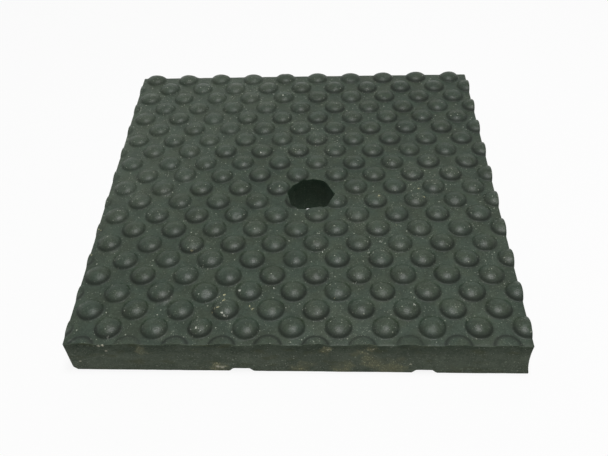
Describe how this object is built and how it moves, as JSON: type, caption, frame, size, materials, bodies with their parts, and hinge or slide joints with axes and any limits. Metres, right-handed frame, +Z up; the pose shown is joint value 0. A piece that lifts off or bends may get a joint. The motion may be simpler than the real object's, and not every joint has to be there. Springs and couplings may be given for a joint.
{
  "type": "anti-vibration pad",
  "caption": "Square anti-vibration pad knife-cut from a thick studded rubber sheet, with domed studs on top, shallow grooves underneath and a rough hole carved through the middle.",
  "frame": {"origin": "middle of the underside, below the centre of the pad's bounding box", "axes": "+Z up out of the studded face, +X along the front edge to the right, -Y towards the front edge, and the grooves run along Y"},
  "size_m": [0.2, 0.204, 0.0213],
  "materials": {
    "rubber": "matte moulded black rubber with pale specks, its cut sides rougher"
  },
  "bodies": {
    "root": {"pad": "rubber"}
  },
  "joints": []
}
